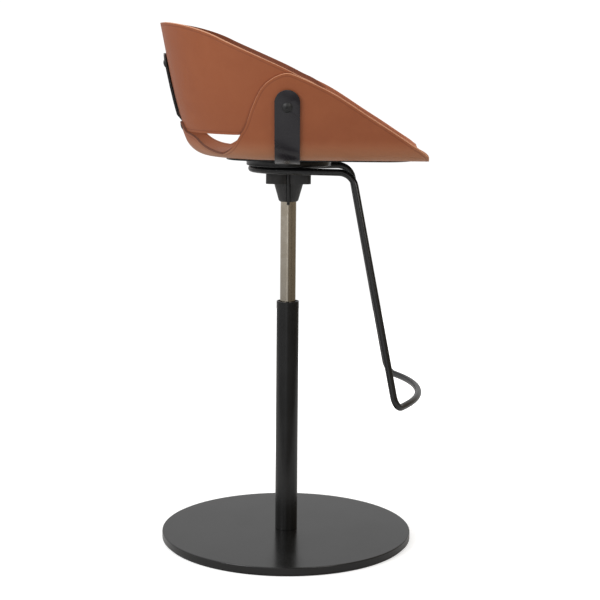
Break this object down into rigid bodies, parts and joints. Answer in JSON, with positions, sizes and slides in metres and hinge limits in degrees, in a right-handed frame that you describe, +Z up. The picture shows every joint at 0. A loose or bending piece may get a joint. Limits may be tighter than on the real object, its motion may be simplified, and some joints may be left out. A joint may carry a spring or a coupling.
{
  "type": "stool",
  "caption": "High swivelling stool: leather bucket seat in steel straps on a gas spring column, with a bent rod footrest hung before it and a round flat base.",
  "frame": {"origin": "centre of the base's underside, on the column's axis, on the floor", "axes": "+Z up along the column, +X towards the front of the seat, +Y to the sitter's left"},
  "size_m": [0.4704, 0.45, 0.9266],
  "materials": {
    "powder_black": "satin black powder coat",
    "cast_black": "black painted casting, slightly rough",
    "black_fastener": "black oxide fastener",
    "tan_leather": "thick cognac saddle leather, fine grain, bevelled cut edges",
    "nickel_cylinder": "satin nickel, slightly warm",
    "bright_steel": "hard chromed, ground",
    "plain_steel": "turned steel",
    "zinc_steel": "zinc plated",
    "plain_aluminium": "turned aluminium",
    "black_plastic": "moulded, matte",
    "lever_plastic": "black powder coat",
    "cage_plastic": "moulded natural nylon",
    "rubber": "matte",
    "pad_rubber": "matte glide pad"
  },
  "bodies": {
    "base": {"glide_pad": "pad_rubber", "base_disc": "powder_black", "base_screws": "zinc_steel", "column_foot": "plain_steel", "column_tube": "powder_black", "guide_bush": "black_plastic", "lower_race": "plain_steel"},
    "cage": {"ball_cage": "cage_plastic", "bearing_balls": "bright_steel"},
    "rod": {"upper_race": "plain_steel", "piston_rod": "bright_steel", "rod_clip": "plain_steel", "clip_washer": "plain_steel", "bump_stop": "rubber", "piston_head": "plain_aluminium", "piston_nut": "zinc_steel"},
    "seat": {"gas_cylinder": "nickel_cylinder", "rod_guide": "plain_aluminium", "rod_seal": "rubber", "hub_casting": "cast_black", "hub_bolts": "black_fastener", "lever_pin": "plain_steel", "mount_disc": "powder_black", "footrest_rod": "powder_black", "spacers": "zinc_steel", "side_strap": "powder_black", "seat_plate": "powder_black", "seat_screws": "black_fastener", "seat_shell": "tan_leather", "back_shell": "tan_leather", "rear_strap": "powder_black", "rear_spacer": "rubber", "rear_screw": "black_fastener", "rear_nut": "black_fastener", "side_screws": "black_fastener", "side_nuts": "black_fastener", "tongue_screws": "black_fastener", "tongue_nuts": "black_fastener"},
    "lever": {"release_lever": "lever_plastic"},
    "button": {"release_button": "bright_steel"}
  },
  "joints": [
    {"name": "seat_swivel", "type": "hinge", "parent": "base", "child": "rod", "pos_m": [0, 0, 0], "axis": [0, 0, 1], "continuous": true},
    {"name": "cage_turn", "type": "hinge", "parent": "base", "child": "cage", "pos_m": [0, 0, 0], "axis": [0, 0, 1], "continuous": true},
    {"name": "seat_height", "type": "slide", "parent": "rod", "child": "seat", "axis": [0, 0, 1], "range_m": [-0.17, 0.03]},
    {"name": "button_press", "type": "slide", "parent": "seat", "child": "button", "axis": [0, 0, -1], "range_m": [0, 0.003], "stiffness_N_per_m": 500, "springref_m": -0.001},
    {"name": "lever_pull", "type": "hinge", "parent": "seat", "child": "lever", "pos_m": [0, -0.022, 0.66655], "axis": [-1, 0, 0], "range_deg": [0, 8]}
  ],
  "couplings": [
    {"joint": "cage_turn", "follows": "seat_swivel", "ratio": 0.5},
    {"joint": "lever_pull", "follows": "button_press", "rad_per_m": 45.455}
  ]
}
